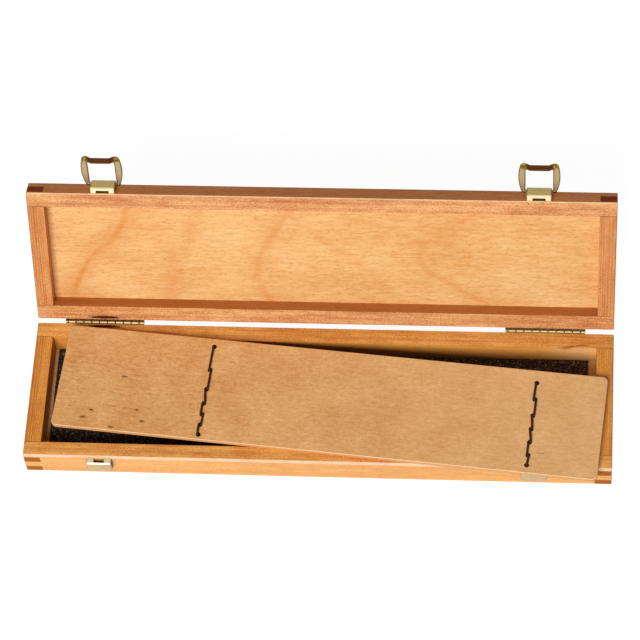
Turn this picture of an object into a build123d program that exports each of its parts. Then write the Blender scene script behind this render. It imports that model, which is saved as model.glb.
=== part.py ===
from build123d import *
import math
import os

os.makedirs("parts", exist_ok=True)

# Driving dimensions of the box, in millimetres. X runs along the box, Y from its front
# to its back, Z up. The origin is at the middle of the base's underside.
box_length = 365.0
box_depth = 95.0
base_height = 20.0
lid_height = 12.0
rail_thick = 10.0
end_thick = 10.5
corner_round = 0.8
base_front_bevel = 1.3
lid_front_bevel = 0.5
end_bevel = 0.4
edge_bevel = 0.6
finger = 6.0
saw_kerf = 2.5

# Plywood panels let into rabbets under the base and over the lid
panel_thick = 2.5
panel_seat = 5.0
panel_fit = 0.1

# Foam on the floor, cut shorter than the compartment so that bare floor shows at its ends
foam_bare_left = 2.25
foam_bare_right = 5.25
foam_thick = 3.0
foam_side_gap = 0.5
foam_lift = 0.05
foam_round = 0.8

# Hinges cut from long knuckled strip, leaves driven into saw kerfs in the back rails
open_angle = 115.0
closing_gap = 0.3
hinge_from_end = 42.9
hinge_length = 50.2
barrel_dia = 3.0
barrel_gap = 0.15
hinge_pin_dia = 1.5
pin_fit = 0.05
leaf_thick = 0.7
leaf_reach = 7.5
first_knuckle = 1.6
knuckle_pitch = 5.05
knuckle_gap = 0.12
bore_sides = 12
leaf_setback = 0.2
kerf_fit = 0.06
break_length = 19.0
break_width = 1.5
break_inset = 1.2
break_depth = 0.5

# Stamped brass clasps: a bracket on the lid carries the bail, a catch on the base takes it
clasp_from_end = 47.9
stamp_width = 15.6
stamp_length = 9.4
stamp_raise = 4.0
stamp_sheet = 0.8
stamp_bend = 1.0
stamp_bevel = 0.6
stamp_rim_gap = 0.9
bracket_notch_width = 8.1
bracket_notch_height = 1.9
catch_notch_width = 6.6
catch_notch_height = 3.2
prong_width = 1.8
prong_length = 3.6
prong_spread = 2.8
prong_fit = 0.08
spring_width = 6.3
spring_sheet = 0.5
spring_tongue = 0.8

# Bail: flat brass strap with bulged arms, a bar set inwards and a pivot rod
bail_lean = 13.0
pivot_out = 2.4
pivot_height = 8.5
rod_dia = 1.4
rod_fit = 0.05
strap_thick = 1.0
arm_inner = 8.4
arm_foot = 10.8
arm_belly = 12.8
arm_shoulder = 11.2
arm_tail = 1.3
bar_clear = 0.4
bar_width = 4.1
bar_set_in = 1.6
bar_half = 5.8
shoulder_round = 2.4
window_round = 1.4
strap_bend = 0.9

# Loose plywood board with two rows of holes for the elastics, with play in the compartment.
# Small holes, bores and cords are drawn with flats, which keeps what repeats light.
board_end_play = 3.0
board_side_play = 3.5
board_thick = 3.2
board_round = 3.2
board_edge = 0.25
board_shift_x = 6.4
board_shift_y = -5.9
board_turn = -4.97
board_lift = 0.2
hole_dia = 3.2
hole_sides = 12
groove_width = 4.2
groove_depth = 1.6
left_row_from_end = 93.2
left_hole_from_rear = 5.75
left_pitches = (16.6, 13.9, 10.0, 7.7, 7.4, 6.9)
left_sides = (-1, -1, -1, 1, 1, 1, -0.5)
right_row_from_end = 43.5
right_hole_from_rear = 8.85
right_pitches = (11.6, 11.5, 9.3, 9.2, 9.0, 6.8)
right_sides = (-1, -1, -1, 1, -1, -1, 0)

# Round elastic cord threaded forth and back through each row. The sides above say where the
# outgoing cord lies in each hole, -1 left to 1 right; the returning cord lies opposite.
cord_dia = 1.3
cord_apart = 0.72
cord_gap = 0.1
cord_turn = 1.0
cord_sides = 6
knot_reach = 4.5
knot_dia = 2.6
knot_pocket_dia = 4.6
knot_pocket_depth = 2.7

# The hinge line lies in the rim plane, just behind the back face
barrel_radius = barrel_dia / 2
axis_y = box_depth / 2 + barrel_radius + barrel_gap
axis_z = base_height
hinge_offset = box_length / 2 - hinge_from_end
clasp_offset = box_length / 2 - clasp_from_end
turn = math.radians(open_angle)
lid_up = Vector(0, math.sin(turn), math.cos(turn))
lid_back = Vector(0, math.cos(turn), -math.sin(turn))
hinge_line = Vector(0, axis_y, axis_z)
lid_centre = hinge_line - lid_back * axis_y + lid_up * closing_gap

# The shut bail's bar hooks under the catch, which is the bracket's stamping turned over
bar_inner = pivot_height + closing_gap + stamp_rim_gap + stamp_length + bar_clear

# The board is cut to the compartment, and its rows of holes are set off from its ends
inner_length = box_length - 2 * end_thick
inner_depth = box_depth - 2 * rail_thick
board_length = inner_length - board_end_play
board_width = inner_depth - board_side_play
left_row = left_row_from_end - board_length / 2
right_row = board_length / 2 - right_row_from_end

base_plane = Plane.XY
lid_rim = Plane(origin=lid_centre, x_dir=(1, 0, 0), z_dir=lid_up)
sides = {"left": -1, "right": 1}


def save(part, name):
    """Label a finished piece and write it under its own name."""
    part.label = name
    export_step(part, f"parts/{name}.step")


def end_bands(sawn_at, height):
    """Heights of the ends' fingers in a box glued up whole and sawn open at sawn_at."""
    bands = []
    level = 0.0
    while level < sawn_at + height:
        low = max(level - sawn_at, 0.0)
        high = min(level + finger - sawn_at, height)
        if high > low:
            bands.append((low, high))
        level += 2 * finger
    return bands


def glued_frame(plane, height, seat_level, front_bevel):
    """Four rails as one ring, its edges broken save at the hinges, rabbeted for the panel."""
    rim, outside = (-1, 0) if seat_level == 0 else (0, -1)
    upwards = Axis(plane.origin, plane.z_dir)
    with BuildPart() as ring:
        with BuildSketch(plane):
            Rectangle(box_length, box_depth)
        extrude(amount=height)
        to_hinges = Axis(plane.origin, plane.y_dir)
        front_edge = ring.faces().sort_by(upwards)[rim].edges().sort_by(to_hinges)[0]
        chamfer(front_edge, front_bevel)
        end_edges = ring.faces().sort_by(upwards)[rim].edges().filter_by(to_hinges)
        chamfer(end_edges, end_bevel)
        chamfer(ring.faces().sort_by(upwards)[outside].edges(), edge_bevel)
        with BuildSketch(plane):
            RectangleRounded(box_length, box_depth, corner_round)
        extrude(amount=height, mode=Mode.INTERSECT)
        with BuildSketch(plane):
            Rectangle(inner_length, inner_depth)
        extrude(amount=height, mode=Mode.SUBTRACT)
        with BuildSketch(plane.offset(seat_level)):
            Rectangle(
                box_length - 2 * (end_thick - panel_seat),
                box_depth - 2 * (rail_thick - panel_seat),
            )
        extrude(amount=panel_thick, mode=Mode.SUBTRACT)
    return ring.part


def long_rail(ring, plane, height, bands, side):
    """Front (side -1) or back (side 1) rail, notched where the ends' fingers pass."""
    with BuildPart() as rail:
        with BuildSketch(plane):
            with Locations((0, side * (box_depth - rail_thick) / 2)):
                Rectangle(box_length, rail_thick)
        extrude(amount=height)
        for low, high in bands:
            with BuildSketch(plane.offset(low)):
                with GridLocations(box_length - end_thick, box_depth - rail_thick, 2, 2):
                    Rectangle(end_thick, rail_thick)
            extrude(amount=high - low, mode=Mode.SUBTRACT)
        add(ring, mode=Mode.INTERSECT)
    return rail.part


def short_end(ring, plane, height, bands, side):
    """Left (side -1) or right (side 1) end between the rails, with its fingers."""
    with BuildPart() as end:
        with BuildSketch(plane):
            with Locations((side * (box_length - end_thick) / 2, 0)):
                Rectangle(end_thick, box_depth - 2 * rail_thick)
        extrude(amount=height)
        for low, high in bands:
            with BuildSketch(plane.offset(low)):
                with Locations((side * (box_length - end_thick) / 2, 0)):
                    Rectangle(end_thick, box_depth)
            extrude(amount=high - low)
        add(ring, mode=Mode.INTERSECT)
    return end.part


def panel(plane):
    """Plywood panel that fills its rabbet."""
    with BuildPart() as sheet:
        with BuildSketch(plane):
            Rectangle(
                box_length - 2 * (end_thick - panel_seat + panel_fit),
                box_depth - 2 * (rail_thick - panel_seat + panel_fit),
            )
        extrude(amount=panel_thick)
    return sheet.part


def knuckle_spans(owner):
    """Start and end of every second knuckle along the hinge, 0 for the lid, 1 for the base."""
    edges = [0.0]
    place = first_knuckle
    while place < hinge_length:
        edges.append(place)
        place += knuckle_pitch
    edges.append(hinge_length)
    spans = list(zip(edges[:-1], edges[1:]))
    return [(start + knuckle_gap / 2, stop - knuckle_gap / 2) for start, stop in spans[owner::2]]


def hinge_leaf(start_plane, spans):
    """Leaf with its knuckles; the plane's X points into the wood, its normal along the pin."""
    with BuildPart() as leaf:
        with BuildSketch(start_plane):
            with Locations((barrel_radius + leaf_setback, barrel_radius - leaf_thick)):
                Rectangle(
                    leaf_reach - barrel_radius - leaf_setback,
                    leaf_thick,
                    align=(Align.MIN, Align.MIN),
                )
        extrude(amount=hinge_length)
        for start, stop in spans:
            with BuildSketch(start_plane.offset(start)):
                Circle(barrel_radius)
                with Locations((0, barrel_radius - leaf_thick)):
                    Rectangle(leaf_reach / 2, leaf_thick, align=(Align.MIN, Align.MIN))
            extrude(amount=stop - start)
        with BuildSketch(start_plane):
            RegularPolygon(hinge_pin_dia / 2 + pin_fit, bore_sides, major_radius=False)
        extrude(amount=hinge_length, mode=Mode.SUBTRACT)
    return leaf.part


def leaf_kerf(start_plane):
    """The saw kerf that a leaf is driven into."""
    with BuildPart() as kerf:
        with BuildSketch(start_plane.offset(-kerf_fit)):
            with Locations((0, barrel_radius - leaf_thick - kerf_fit)):
                Rectangle(
                    leaf_reach + kerf_fit,
                    leaf_thick + 2 * kerf_fit,
                    align=(Align.MIN, Align.MIN),
                )
        extrude(amount=hinge_length + 2 * kerf_fit)
    return kerf.part


def kerf_break(rim, inwards):
    """Shallow segment where the slotting blade bruised the rim over the left hinge."""
    radius = ((break_length / 2) ** 2 + break_width**2) / (2 * break_width)
    chord = box_depth / 2 - break_inset
    with BuildPart() as segment:
        with BuildSketch(rim):
            with Locations((-hinge_offset, chord - break_width + radius)):
                Circle(radius)
            with Locations((-hinge_offset, chord)):
                Rectangle(
                    break_length,
                    2 * break_width,
                    align=(Align.CENTER, Align.MAX),
                    mode=Mode.INTERSECT,
                )
        extrude(amount=inwards * break_depth)
    return segment.part


def stamping(face, notch_width, notch_height):
    """Pressed sheet cup on a front face; the plane's Y points at the rim, its normal out."""
    with BuildPart() as cup:
        with BuildSketch(face):
            RectangleRounded(stamp_width, stamp_length, stamp_bend)
        extrude(amount=stamp_raise)
        front = cup.faces().sort_by(Axis(face.origin, face.z_dir))[-1]
        chamfer(front.edges(), stamp_bevel)
        with BuildSketch(face):
            RectangleRounded(
                stamp_width - 2 * stamp_sheet,
                stamp_length - 2 * stamp_sheet,
                stamp_bend / 2,
            )
        extrude(amount=stamp_raise - stamp_sheet, mode=Mode.SUBTRACT)
        with BuildSketch(face):
            with Locations((0, stamp_length / 2)):
                Rectangle(notch_width, 2 * stamp_sheet + stamp_bend)
        extrude(amount=notch_height, mode=Mode.SUBTRACT)
        add(prong_pair(face, 0.0))
    return cup.part


def prong_pair(face, fit):
    """Pointed prongs of the side walls, driven into the wood behind the face."""
    wall_middle = (stamp_width - stamp_sheet) / 2
    with BuildPart() as prongs:
        for side in (-1, 1):
            wall = Plane(
                origin=face.from_local_coords((side * wall_middle - stamp_sheet / 2 - fit, 0, 0)),
                x_dir=face.y_dir,
                z_dir=face.x_dir,
            )
            with BuildSketch(wall):
                for place in (0, prong_spread):
                    with BuildLine():
                        Polyline(
                            (place - prong_width / 2 - fit, 0),
                            (place + prong_width / 2 + fit, 0),
                            (place, -prong_length - 2 * fit),
                            close=True,
                        )
                    make_face()
            extrude(amount=stamp_sheet + 2 * fit)
    return prongs.part


def clasp_spring(face):
    """Leaf spring that lies on the wood, shows in the notch and rises under the pivot rod."""
    rod_place = stamp_rim_gap + stamp_length / 2 - pivot_height
    tongue_end = stamp_length / 2 + spring_tongue
    rise = pivot_out - rod_dia / 2 - spring_sheet - 2 * rod_fit
    with BuildPart() as spring:
        wall = Plane(
            origin=face.from_local_coords((-spring_width / 2, 0, 0)),
            x_dir=face.y_dir,
            z_dir=-face.x_dir,
        )
        side_x = 1 if wall.y_dir.dot(face.z_dir) > 0 else -1
        with BuildSketch(wall):
            with BuildLine():
                Polyline(
                    (tongue_end, side_x * rod_fit),
                    (0, side_x * rod_fit),
                    (rod_place + rod_dia, side_x * (rod_fit + rise)),
                    (rod_place - rod_dia / 2, side_x * (rod_fit + rise)),
                    (rod_place - rod_dia / 2, side_x * (rod_fit + rise + spring_sheet)),
                    (rod_place + rod_dia, side_x * (rod_fit + rise + spring_sheet)),
                    (0, side_x * (rod_fit + spring_sheet)),
                    (tongue_end, side_x * (rod_fit + spring_sheet)),
                    close=True,
                )
            make_face()
        extrude(amount=-spring_width)
    return spring.part


def bail(pivot):
    """Strap loop on its pivot plane: Y runs along the bail, Z towards the wood when shut."""
    reach = bar_inner + bar_width
    rod_middle = (arm_inner + arm_foot) / 2
    rod_end = pivot.from_local_coords((-rod_middle, 0, 0))
    across = Plane(origin=pivot.origin, x_dir=pivot.x_dir, z_dir=pivot.y_dir)
    with BuildPart() as loop:
        with BuildSketch(across.offset(-arm_tail)):
            with BuildLine():
                upper = FilletPolyline(*strap_line(strap_thick / 2), radius=strap_bend)
                lower = FilletPolyline(*strap_line(-strap_thick / 2), radius=strap_bend)
                Line(upper @ 0, lower @ 0)
                Line(upper @ 1, lower @ 1)
            make_face()
        extrude(amount=reach + arm_tail)
        with BuildSketch(pivot) as outline:
            with BuildLine():
                right = ThreePointArc((arm_foot, 0), (arm_belly, reach / 2), (arm_shoulder, reach))
                left = ThreePointArc((-arm_foot, 0), (-arm_belly, reach / 2), (-arm_shoulder, reach))
                Line(right @ 1, left @ 1)
                Polyline(
                    (arm_foot, 0),
                    (arm_foot, -arm_tail),
                    (-arm_foot, -arm_tail),
                    (-arm_foot, 0),
                )
            make_face()
            fillet(outline.vertices().group_by(Axis.Y)[-1], shoulder_round)
            fillet(outline.vertices().group_by(Axis.Y)[0], arm_tail - rod_fit)
            with BuildSketch(mode=Mode.SUBTRACT) as window:
                with Locations((0, (bar_inner - arm_tail) / 2)):
                    Rectangle(2 * arm_inner, bar_inner + arm_tail)
                fillet(window.vertices().group_by(Axis.Y)[-1], window_round)
        extrude(amount=3 * bar_set_in, both=True, mode=Mode.INTERSECT)
        with BuildSketch(Plane(origin=rod_end, x_dir=pivot.y_dir, z_dir=pivot.x_dir)):
            Circle(rod_dia / 2)
        extrude(amount=2 * rod_middle)
    return loop.part


def strap_line(height):
    """Line across the strap, flat over the arms and set in along the bar."""
    end = arm_belly + 1.0
    return [
        (-end, height),
        (-arm_inner, height),
        (-bar_half, height - bar_set_in),
        (bar_half, height - bar_set_in),
        (arm_inner, height),
        (end, height),
    ]


def hole_places(first, pitches):
    """Places of a row's holes across the board, from the rear one to the front one."""
    places = [first]
    for pitch in pitches:
        places.append(places[-1] - pitch)
    return places


def rounded_route(points):
    """The route with each turn cut to two chords of the cord's bend."""
    corners = [points[0]]
    for before, corner, after in zip(points, points[1:], points[2:]):
        back = (before - corner).normalized()
        ahead = (after - corner).normalized()
        half = math.radians(back.get_angle(ahead)) / 2
        inward = (back + ahead).normalized()
        start = corner + back * (cord_turn / math.tan(half))
        middle = corner + inward * (cord_turn / math.sin(half) - cord_turn)
        stop = corner + ahead * (cord_turn / math.tan(half))
        corners += [start, middle, stop]
    corners.append(points[-1])
    return [tuple(corner) for corner in corners]


def elastic(board, row, places, sides_taken):
    """Cord sewn forth and back through a row of holes, its two ends in one knot below."""
    top = board_thick + cord_gap + cord_dia / 2
    low = groove_depth - cord_gap - cord_dia / 2
    knot_place = places[0] + knot_reach
    points = [Vector(row - cord_apart, knot_place, low)]
    out = list(zip(places, sides_taken))
    home = [(place, -side) for place, side in out[-2:0:-1]]
    for number, (place, side) in enumerate(out + home):
        near, far = (low, top) if number % 2 == 0 else (top, low)
        points.append(Vector(row + side * cord_apart, place, near))
        points.append(Vector(row + side * cord_apart, place, far))
    points.append(Vector(row + cord_apart, knot_place, low))
    with BuildPart() as cord:
        with BuildLine(board):
            route = Polyline(*rounded_route(points))
        with BuildSketch(Plane(origin=route @ 0, z_dir=route % 0)):
            RegularPolygon(cord_dia / 2, cord_sides)
        sweep(transition=Transition.RIGHT)
        with BuildSketch(board.offset(low - knot_dia / 2 + (knot_dia - cord_dia) / 4)):
            with Locations((row, knot_place)):
                RegularPolygon(knot_dia / 2, cord_sides)
        extrude(amount=knot_dia)
    print("elastic length", round(route.length, 1), "cord turn", cord_turn)
    return cord.part


def brush_board(board, rows):
    """Plywood board with rounded corners, holed and grooved below for the elastics."""
    with BuildPart() as sheet:
        with BuildSketch(board):
            RectangleRounded(board_length, board_width, board_round)
        extrude(amount=board_thick)
        chamfer(sheet.faces().filter_by(board).edges(), board_edge)
        for row, places in rows:
            with BuildSketch(board):
                with Locations([(row, place) for place in places]):
                    RegularPolygon(hole_dia / 2, hole_sides)
            extrude(amount=board_thick, mode=Mode.SUBTRACT)
            with BuildSketch(board):
                with Locations((row, (places[0] + places[-1]) / 2)):
                    SlotOverall(places[0] - places[-1] + 2 * hole_dia, groove_width, rotation=90)
            extrude(amount=groove_depth, mode=Mode.SUBTRACT)
            with BuildSketch(board):
                with Locations((row, places[0] + knot_reach)):
                    Circle(knot_pocket_dia / 2)
            extrude(amount=knot_pocket_depth, mode=Mode.SUBTRACT)
    return sheet.part


base_bands = end_bands(0.0, base_height)
lid_bands = end_bands(base_height + saw_kerf, lid_height)
base_ring = glued_frame(base_plane, base_height, 0.0, base_front_bevel)
lid_ring = glued_frame(lid_rim, lid_height, lid_height - panel_thick, lid_front_bevel)

base_rails = {
    "front": long_rail(base_ring, base_plane, base_height, base_bands, -1),
    "back": long_rail(base_ring, base_plane, base_height, base_bands, 1),
}
lid_rails = {
    "front": long_rail(lid_ring, lid_rim, lid_height, lid_bands, -1),
    "back": long_rail(lid_ring, lid_rim, lid_height, lid_bands, 1),
}
for name, side in sides.items():
    save(short_end(base_ring, base_plane, base_height, base_bands, side), f"base_{name}_end")
    save(short_end(lid_ring, lid_rim, lid_height, lid_bands, side), f"lid_{name}_end")
save(panel(base_plane), "base_bottom_panel")
save(panel(lid_rim.offset(lid_height - panel_thick)), "lid_panel")

with BuildPart() as foam_liner:
    with BuildSketch(Plane.XY.offset(panel_thick + foam_lift)):
        with Locations(((foam_bare_left - foam_bare_right) / 2, 0)):
            Rectangle(
                inner_length - foam_bare_left - foam_bare_right,
                inner_depth - 2 * foam_side_gap,
            )
    extrude(amount=foam_thick)
    fillet(foam_liner.faces().sort_by(Axis.Z)[-1].edges(), foam_round)
save(foam_liner.part, "foam_liner")

# Hinges: the kerfs come out of the back rails, the leaves go into them
base_cuts = [kerf_break(Plane.XY.offset(base_height), -1)]
lid_cuts = [kerf_break(lid_rim, 1)]
for name, side in sides.items():
    start = hinge_line + Vector(side * hinge_offset - hinge_length / 2, 0, 0)
    stop = hinge_line + Vector(side * hinge_offset + hinge_length / 2, 0, 0)
    base_start = Plane(origin=start, x_dir=(0, -1, 0), z_dir=(1, 0, 0))
    lid_start = Plane(origin=stop, x_dir=-lid_back, z_dir=(-1, 0, 0))
    lid_spans = [(hinge_length - b, hinge_length - a) for a, b in knuckle_spans(0)]
    save(hinge_leaf(base_start, knuckle_spans(1)), f"hinge_{name}_base_leaf")
    save(hinge_leaf(lid_start, lid_spans), f"hinge_{name}_lid_leaf")
    base_cuts.append(leaf_kerf(base_start))
    lid_cuts.append(leaf_kerf(lid_start))
    with BuildPart() as hinge_pin:
        with BuildSketch(base_start):
            Circle(hinge_pin_dia / 2)
        extrude(amount=hinge_length)
    save(hinge_pin.part, f"hinge_{name}_pin")

for rails, cuts, body in ((base_rails, base_cuts, "base"), (lid_rails, lid_cuts, "lid")):
    with BuildPart() as back_rail:
        add(rails["back"])
        add(cuts, mode=Mode.SUBTRACT)
    save(back_rail.part, f"{body}_back_rail")

# Clasps: bracket, spring and bail on the lid's front face, catch on the base's
base_pockets = []
lid_pockets = []
stamp_middle = stamp_rim_gap + stamp_length / 2
for name, side in sides.items():
    lid_face = Plane(
        origin=lid_rim.from_local_coords((side * clasp_offset, -box_depth / 2, stamp_middle)),
        x_dir=(-1, 0, 0),
        z_dir=-lid_back,
    )
    base_face = Plane(
        origin=(side * clasp_offset, -box_depth / 2, base_height - stamp_middle),
        x_dir=(1, 0, 0),
        z_dir=(0, -1, 0),
    )
    pivot_centre = lid_rim.from_local_coords(
        (side * clasp_offset, -box_depth / 2 - pivot_out, pivot_height)
    )
    lean = math.radians(bail_lean)
    along = -lid_back * math.cos(lean) - lid_up * math.sin(lean)
    pivot = Plane(origin=pivot_centre, x_dir=(1, 0, 0), z_dir=Vector(1, 0, 0).cross(along))
    slot_end = lid_face.from_local_coords((-stamp_width, stamp_middle - pivot_height, pivot_out))
    with BuildPart() as bracket:
        add(stamping(lid_face, bracket_notch_width, bracket_notch_height))
        with BuildSketch(Plane(origin=slot_end, x_dir=lid_face.z_dir, z_dir=lid_face.x_dir)):
            Circle(rod_dia / 2 + rod_fit)
            Rectangle(pivot_out, rod_dia + 2 * rod_fit, align=(Align.MAX, Align.CENTER))
        extrude(amount=2 * stamp_width, mode=Mode.SUBTRACT)
    save(bracket.part, f"bracket_{name}")
    save(clasp_spring(lid_face), f"clasp_spring_{name}")
    save(bail(pivot), f"bail_{name}")
    save(stamping(base_face, catch_notch_width, catch_notch_height), f"catch_{name}")
    base_pockets.append(prong_pair(base_face, prong_fit))
    lid_pockets.append(prong_pair(lid_face, prong_fit))

for rails, pockets, body in ((base_rails, base_pockets, "base"), (lid_rails, lid_pockets, "lid")):
    with BuildPart() as front_rail:
        add(rails["front"])
        add(pockets, mode=Mode.SUBTRACT)
    save(front_rail.part, f"{body}_front_rail")

# The board lies askew on the rims, as it was lifted out
board_plane = Plane(
    origin=(board_shift_x, board_shift_y, base_height + board_lift),
    x_dir=(math.cos(math.radians(board_turn)), math.sin(math.radians(board_turn)), 0),
    z_dir=(0, 0, 1),
)
left_places = hole_places(board_width / 2 - left_hole_from_rear, left_pitches)
right_places = hole_places(board_width / 2 - right_hole_from_rear, right_pitches)
save(brush_board(board_plane, ((left_row, left_places), (right_row, right_places))), "brush_board")
save(elastic(board_plane, left_row, left_places, left_sides), "elastic_left")
save(elastic(board_plane, right_row, right_places, right_sides), "elastic_right")
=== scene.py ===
import math

import bpy
import numpy as np
from mathutils import Matrix, Vector


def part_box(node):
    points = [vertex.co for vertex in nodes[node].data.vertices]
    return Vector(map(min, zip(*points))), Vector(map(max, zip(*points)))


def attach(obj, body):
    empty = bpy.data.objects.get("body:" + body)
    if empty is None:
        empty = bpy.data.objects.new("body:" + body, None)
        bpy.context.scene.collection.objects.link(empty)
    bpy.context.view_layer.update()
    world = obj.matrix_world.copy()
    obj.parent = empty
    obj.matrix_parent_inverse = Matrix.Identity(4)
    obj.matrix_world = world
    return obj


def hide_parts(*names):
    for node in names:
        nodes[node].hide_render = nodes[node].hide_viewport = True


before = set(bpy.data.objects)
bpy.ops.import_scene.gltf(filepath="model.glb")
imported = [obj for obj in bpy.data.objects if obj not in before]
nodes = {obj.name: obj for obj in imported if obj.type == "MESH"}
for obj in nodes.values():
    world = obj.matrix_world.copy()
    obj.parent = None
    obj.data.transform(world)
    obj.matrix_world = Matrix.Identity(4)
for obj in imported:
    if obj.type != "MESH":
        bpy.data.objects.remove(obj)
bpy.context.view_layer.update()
scene = bpy.context.scene


# Studio: a white floor and sky, one large soft lamp in front and a little to the left, and even
# light from the room. The camera stands high in front, a little to the right of the box.
def node(tree, kind, feeds=None, **settings):
    """Adds a node; a feed is a plain value or the output socket that drives the input."""
    made = tree.nodes.new(kind)
    for name, value in settings.items():
        setattr(made, name, value)
    for name, value in (feeds or {}).items():
        socket = made.inputs[name]
        if isinstance(value, bpy.types.NodeSocket):
            tree.links.new(value, socket)
        else:
            socket.default_value = value
    return made


def math_node(tree, operation, *values, clamp=False):
    """One Math node and its result."""
    feeds = dict(enumerate(values))
    return node(tree, "ShaderNodeMath", feeds, operation=operation, use_clamp=clamp).outputs[0]


lamp_distance = 2.6
lamp_towards = Vector((-0.2, -0.8, 0.57)).normalized()
aim = Vector((0.0, 0.03, 0.04))
lamp_data = bpy.data.lights.new("soft_box", "AREA")
lamp_data.shape = "SQUARE"
lamp_data.size = 1.35
lamp_data.energy = 72.0
lamp = bpy.data.objects.new("soft_box", lamp_data)
lamp.location = aim + lamp_towards * lamp_distance
lamp.rotation_euler = lamp_towards.to_track_quat("Z", "Y").to_euler()
scene.collection.objects.link(lamp)

world = bpy.data.worlds.new("room")
world.use_nodes = True
scene.world = world
room = world.node_tree
room.nodes.clear()
path = room.nodes.new("ShaderNodeLightPath")
seen = math_node(room, "MAXIMUM", path.outputs["Is Camera Ray"], path.outputs["Is Glossy Ray"])
seen = math_node(room, "MAXIMUM", seen, path.outputs["Is Transmission Ray"])
even_light = node(room, "ShaderNodeBackground", {"Color": (1.0, 1.0, 1.0, 1.0), "Strength": 0.17})
white_sky = node(room, "ShaderNodeBackground", {"Color": (1.0, 1.0, 1.0, 1.0), "Strength": 1.0})
feeds = {0: seen, 1: even_light.outputs[0], 2: white_sky.outputs[0]}
sky = node(room, "ShaderNodeMixShader", feeds)
room_end = room.nodes.new("ShaderNodeOutputWorld")
room.links.new(sky.outputs[0], room_end.inputs["Surface"])

floor_half = 3.0
floor_mesh = bpy.data.meshes.new("floor")
floor_corners = np.array([[-1, -1, 0], [1, -1, 0], [1, 1, 0], [-1, 1, 0]], float) * floor_half
floor_mesh.from_pydata(floor_corners.tolist(), [], [(0, 1, 2, 3)])
floor = bpy.data.objects.new("floor", floor_mesh)
scene.collection.objects.link(floor)
floor_paint = bpy.data.materials.new("floor")
floor_paint.use_nodes = True
paint = floor_paint.node_tree
paint.nodes.clear()
pale = node(paint, "ShaderNodeBsdfDiffuse", {"Color": (0.88, 0.88, 0.88, 1.0)})
grey = node(paint, "ShaderNodeBsdfDiffuse", {"Color": (0.2, 0.2, 0.2, 1.0)})
glow = node(paint, "ShaderNodeEmission", {"Color": (1.0, 1.0, 1.0, 1.0), "Strength": 0.945})
lit = node(paint, "ShaderNodeAddShader", {0: grey.outputs[0], 1: glow.outputs[0]})
floor_path = paint.nodes.new("ShaderNodeLightPath")
by_camera = floor_path.outputs["Is Camera Ray"]
both = node(paint, "ShaderNodeMixShader", {0: by_camera, 1: pale.outputs[0], 2: lit.outputs[0]})
floor_end = paint.nodes.new("ShaderNodeOutputMaterial")
paint.links.new(both.outputs[0], floor_end.inputs["Surface"])
floor_mesh.materials.append(floor_paint)

camera_data = bpy.data.cameras.new("camera")
camera_data.sensor_width = 36.0
camera_data.lens = 172.65
camera_data.clip_start = 0.05
camera = bpy.data.objects.new("camera", camera_data)
camera_place = (0.156657, -0.897041, 1.706382)
elevation = math.radians(60.2471)
swing = math.radians(9.5186)
roll = math.radians(-7.1052)
looking = (
    Matrix.Rotation(roll, 3, "Z")
    @ Matrix.Rotation(math.pi / 2 + elevation, 3, "X")
    @ Matrix.Rotation(-swing, 3, "Z")
)
axes = looking.transposed() @ Matrix.Diagonal((1.0, -1.0, -1.0))
camera.matrix_world = Matrix.Translation(camera_place) @ axes.to_4x4()
scene.collection.objects.link(camera)
scene.camera = camera
scene.view_settings.view_transform = "Standard"


# Rails of base and lid: orange varnished hardwood, sawn with the fibres along each rail and
# glued up with box fingers, whose end grain took the varnish darker. The lid stands open, so
# its wood is read in its own frame: Y towards the hinge, Z from the rim to the cover.
def blend_colours(tree, share, first, second):
    """The first colour plus the share times the step to the second; inputs 6 and 7 hold colours."""
    mixed = node(tree, "ShaderNodeMix", {0: share, 6: first, 7: second}, data_type="RGBA")
    return mixed.outputs[2]


def ramp(tree, value, low, high, to_low=0.0, to_high=1.0):
    """Maps a value between two limits to another pair, held at both ends."""
    feeds = {0: value, 1: low, 2: high, 3: to_low, 4: to_high}
    return node(tree, "ShaderNodeMapRange", feeds).outputs[0]


def noise(tree, vector, scale, detail=2.0, roughness=0.5):
    """Cloudy values of about 0.5 with the given number of grains per metre."""
    feeds = {"Vector": vector, "Scale": scale, "Detail": detail, "Roughness": roughness}
    return node(tree, "ShaderNodeTexNoise", feeds).outputs[0]


def layered(tree, layers):
    """Sum of cloudy values, each stretched from its two limits to 0 and 1 and times its weight."""
    total = 0.0
    for value, low, high, weight in layers:
        total = math_node(tree, "MULTIPLY_ADD", ramp(tree, value, low, high), weight, total)
    return total


def scaled(tree, vector, factors):
    """The vector stretched by its own factor on each axis."""
    feeds = {0: vector, 1: factors}
    return node(tree, "ShaderNodeVectorMath", feeds, operation="MULTIPLY").outputs[0]


def drawn_noise(tree, fibres, share, scale, detail=2.0, roughness=0.5):
    """Noise drawn out along X, as wood's fibres are: X counts only by its share."""
    return noise(tree, scaled(tree, fibres, (share, 1.0, 1.0)), scale, detail, roughness)


def split(tree, vector):
    """The three parts of a vector."""
    return node(tree, "ShaderNodeSeparateXYZ", {0: vector}).outputs


def within(tree, value, middle, half, soft):
    """1 where the value lies within half of the middle, falling to 0 over the soft margin."""
    away = math_node(tree, "ABSOLUTE", math_node(tree, "SUBTRACT", value, middle))
    return ramp(tree, away, half, half + soft, 1.0, 0.0)


def start_group(name, inputs, outputs):
    """An empty node group with its named sockets."""
    tree = bpy.data.node_groups.new(name, "ShaderNodeTree")
    for label, kind in inputs:
        tree.interface.new_socket(label, in_out="INPUT", socket_type="NodeSocket" + kind)
    for label, kind in outputs:
        tree.interface.new_socket(label, in_out="OUTPUT", socket_type="NodeSocket" + kind)
    return tree, tree.nodes.new("NodeGroupInput"), tree.nodes.new("NodeGroupOutput")


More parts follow.
